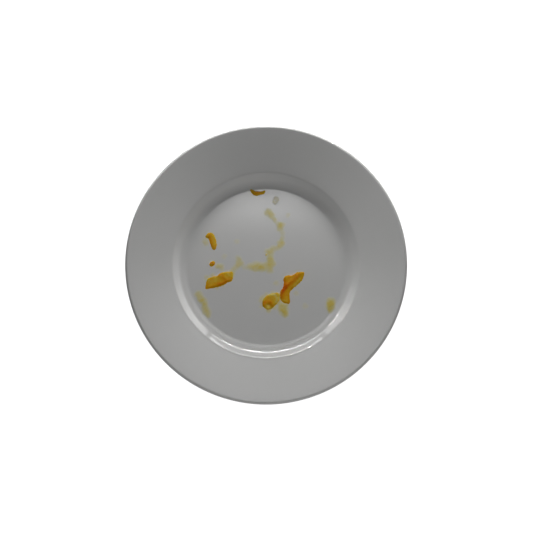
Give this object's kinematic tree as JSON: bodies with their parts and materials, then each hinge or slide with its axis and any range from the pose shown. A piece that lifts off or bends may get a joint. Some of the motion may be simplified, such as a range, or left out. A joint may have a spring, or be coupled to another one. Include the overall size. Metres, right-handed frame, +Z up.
{
  "type": "dirty dinner plate",
  "caption": "Used white porcelain dinner plate with a wide rim, standing on its foot ring, with orange food scraps and dried yellow sauce on its well.",
  "frame": {"origin": "middle of the foot ring, on the surface that the plate stands on", "axes": "+Z up, out of the well; +Y towards the side of the plate that is at the top of the picture; +X towards its right"},
  "size_m": [0.27, 0.27, 0.0266],
  "materials": {
    "porcelain": "glossy white glaze, bare and matt on the foot ring",
    "cooked_scrap": "moist, slightly see-through orange vegetable with darker folds",
    "dried_sauce": "thin dried yellow sauce, see-through at its edges"
  },
  "bodies": {
    "root": {"plate": "porcelain", "scrap_top": "cooked_scrap", "scrap_hook": "cooked_scrap", "scrap_crumb": "cooked_scrap", "scrap_chunk": "cooked_scrap", "scrap_cross": "cooked_scrap", "scrap_curl": "cooked_scrap", "sauce_trail": "dried_sauce", "sauce_drip": "dried_sauce", "sauce_low_left": "dried_sauce", "sauce_right": "dried_sauce", "sauce_left": "dried_sauce", "sauce_top": "dried_sauce"}
  },
  "joints": []
}
